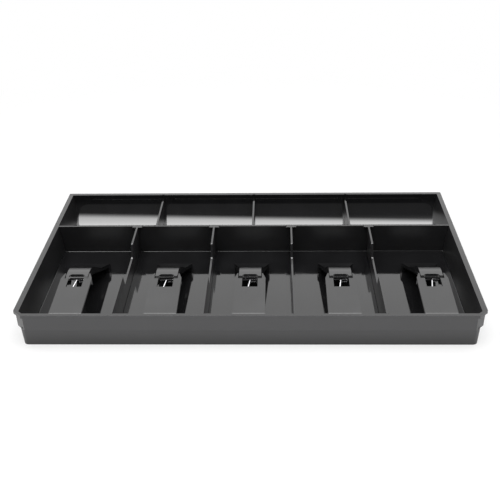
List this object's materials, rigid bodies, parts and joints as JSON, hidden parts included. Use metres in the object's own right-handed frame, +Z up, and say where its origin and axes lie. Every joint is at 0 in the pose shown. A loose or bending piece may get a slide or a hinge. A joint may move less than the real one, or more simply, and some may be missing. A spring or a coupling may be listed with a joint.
{
  "type": "cash register tray",
  "caption": "Shallow cash drawer insert with note compartments under sprung clips, scooped coin bins behind, and lift-out dividers.",
  "frame": {"origin": "middle of the tray's base, on the surface that it stands on", "axes": "+Z up, +X along the tray's width to the right, +Y from the note clips towards the coin bins"},
  "size_m": [0.405, 0.245, 0.037],
  "materials": {
    "tray_black": "gloss black moulding inside, fine satin on the outer walls",
    "divider_black": "gloss black moulding",
    "clip_black": "gloss black moulding",
    "pin_steel": "drawn steel pin",
    "spring_steel": "bright plated spring wire"
  },
  "bodies": {
    "tray": {"tray_shell": "tray_black", "clip_bracket_1": "clip_black", "clip_bracket_2": "clip_black", "clip_bracket_3": "clip_black", "clip_bracket_4": "clip_black", "clip_bracket_5": "clip_black", "clip_pin_1": "pin_steel", "clip_pin_2": "pin_steel", "clip_pin_3": "pin_steel", "clip_pin_4": "pin_steel", "clip_pin_5": "pin_steel", "clip_spring_1": "spring_steel", "clip_spring_2": "spring_steel", "clip_spring_3": "spring_steel", "clip_spring_4": "spring_steel", "clip_spring_5": "spring_steel"},
    "lever_1": {"clip_lever_1": "clip_black"},
    "lever_2": {"clip_lever_2": "clip_black"},
    "lever_3": {"clip_lever_3": "clip_black"},
    "lever_4": {"clip_lever_4": "clip_black"},
    "lever_5": {"clip_lever_5": "clip_black"},
    "note_divider_1": {"note_divider_1": "divider_black"},
    "note_divider_2": {"note_divider_2": "divider_black"},
    "note_divider_3": {"note_divider_3": "divider_black"},
    "note_divider_4": {"note_divider_4": "divider_black"},
    "coin_divider_1": {"coin_divider_1": "divider_black"},
    "coin_divider_2": {"coin_divider_2": "divider_black"},
    "coin_divider_3": {"coin_divider_3": "divider_black"}
  },
  "joints": [
    {"name": "clip_lift_1", "type": "hinge", "parent": "tray", "child": "lever_1", "pos_m": [-0.1573, -0.0605, 0.0318], "axis": [-1, 0, 0], "range_deg": [0, 80], "stiffness_Nm_per_rad": 0.05, "springref_deg": -28.65, "deforming": ["clip_spring_1"]},
    {"name": "clip_lift_2", "type": "hinge", "parent": "tray", "child": "lever_2", "pos_m": [-0.0758, -0.0605, 0.0318], "axis": [-1, 0, 0], "range_deg": [0, 80], "stiffness_Nm_per_rad": 0.05, "springref_deg": -28.65, "deforming": ["clip_spring_2"]},
    {"name": "clip_lift_3", "type": "hinge", "parent": "tray", "child": "lever_3", "pos_m": [0, -0.0605, 0.0318], "axis": [-1, 0, 0], "range_deg": [0, 80], "stiffness_Nm_per_rad": 0.05, "springref_deg": -28.65, "deforming": ["clip_spring_3"]},
    {"name": "clip_lift_4", "type": "hinge", "parent": "tray", "child": "lever_4", "pos_m": [0.0817, -0.0605, 0.0318], "axis": [-1, 0, 0], "range_deg": [0, 80], "stiffness_Nm_per_rad": 0.05, "springref_deg": -28.65, "deforming": ["clip_spring_4"]},
    {"name": "clip_lift_5", "type": "hinge", "parent": "tray", "child": "lever_5", "pos_m": [0.1634, -0.0605, 0.0318], "axis": [-1, 0, 0], "range_deg": [0, 80], "stiffness_Nm_per_rad": 0.05, "springref_deg": -28.65, "deforming": ["clip_spring_5"]},
    {"name": "note_divider_lift_1", "type": "slide", "parent": "tray", "child": "note_divider_1", "axis": [0, 0, 1], "range_m": [0, 0.035]},
    {"name": "note_divider_lift_2", "type": "slide", "parent": "tray", "child": "note_divider_2", "axis": [0, 0, 1], "range_m": [0, 0.035]},
    {"name": "note_divider_lift_3", "type": "slide", "parent": "tray", "child": "note_divider_3", "axis": [0, 0, 1], "range_m": [0, 0.035]},
    {"name": "note_divider_lift_4", "type": "slide", "parent": "tray", "child": "note_divider_4", "axis": [0, 0, 1], "range_m": [0, 0.035]},
    {"name": "coin_divider_lift_1", "type": "slide", "parent": "tray", "child": "coin_divider_1", "axis": [0, 0, 1], "range_m": [0, 0.035]},
    {"name": "coin_divider_lift_2", "type": "slide", "parent": "tray", "child": "coin_divider_2", "axis": [0, 0, 1], "range_m": [0, 0.035]},
    {"name": "coin_divider_lift_3", "type": "slide", "parent": "tray", "child": "coin_divider_3", "axis": [0, 0, 1], "range_m": [0, 0.035]}
  ]
}
